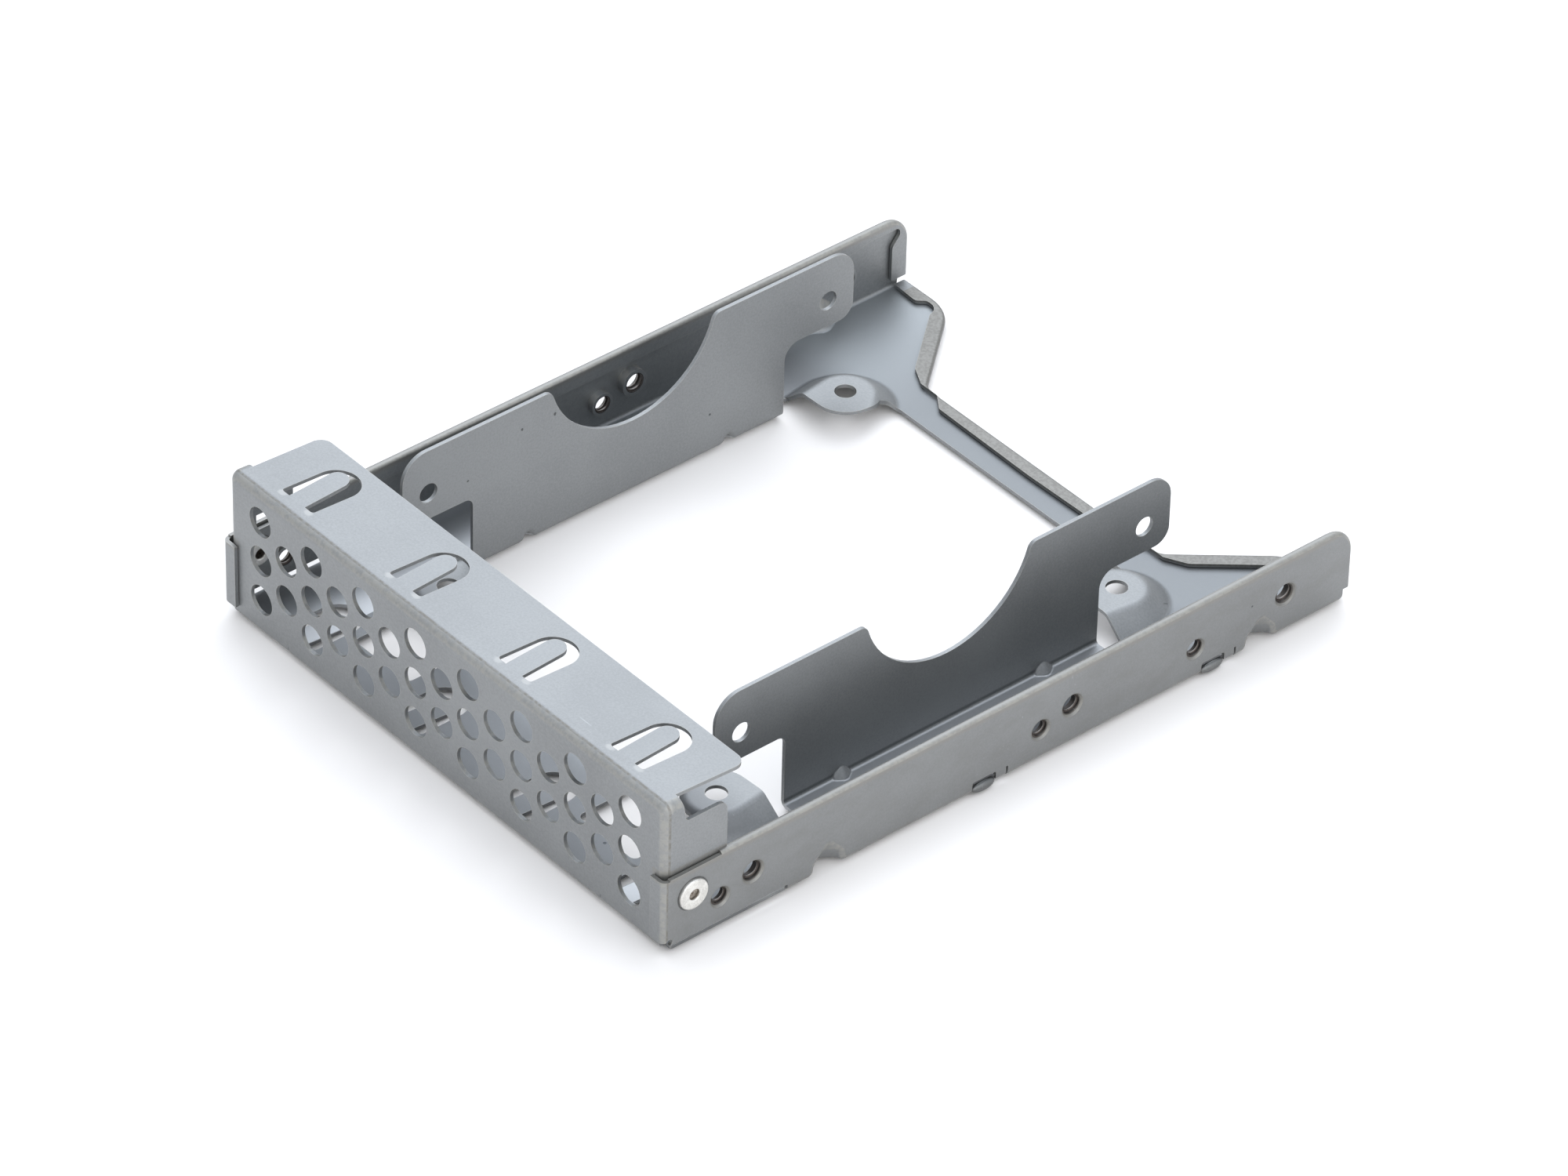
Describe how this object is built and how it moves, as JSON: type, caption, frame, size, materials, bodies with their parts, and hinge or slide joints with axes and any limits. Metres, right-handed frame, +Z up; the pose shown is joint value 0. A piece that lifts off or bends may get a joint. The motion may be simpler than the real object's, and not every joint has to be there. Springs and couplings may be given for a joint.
{
  "type": "hard drive cage",
  "caption": "Folded sheet steel cage that holds a small drive between two uprights inside a larger drive bay, with a pierced front panel.",
  "frame": {"origin": "centre of the footprint, on the surface that the cage stands on", "axes": "+X across the cage, +Y from the pierced panel to the open back, +Z up"},
  "size_m": [0.1026, 0.1314, 0.027],
  "materials": {
    "zinc_sheet": "matte zinc coat, fine grain, blue-grey",
    "rivet_metal": "bright bare metal"
  },
  "bodies": {
    "root": {"tray": "zinc_sheet", "rivet_right": "rivet_metal", "rivet_left": "rivet_metal"}
  },
  "joints": []
}
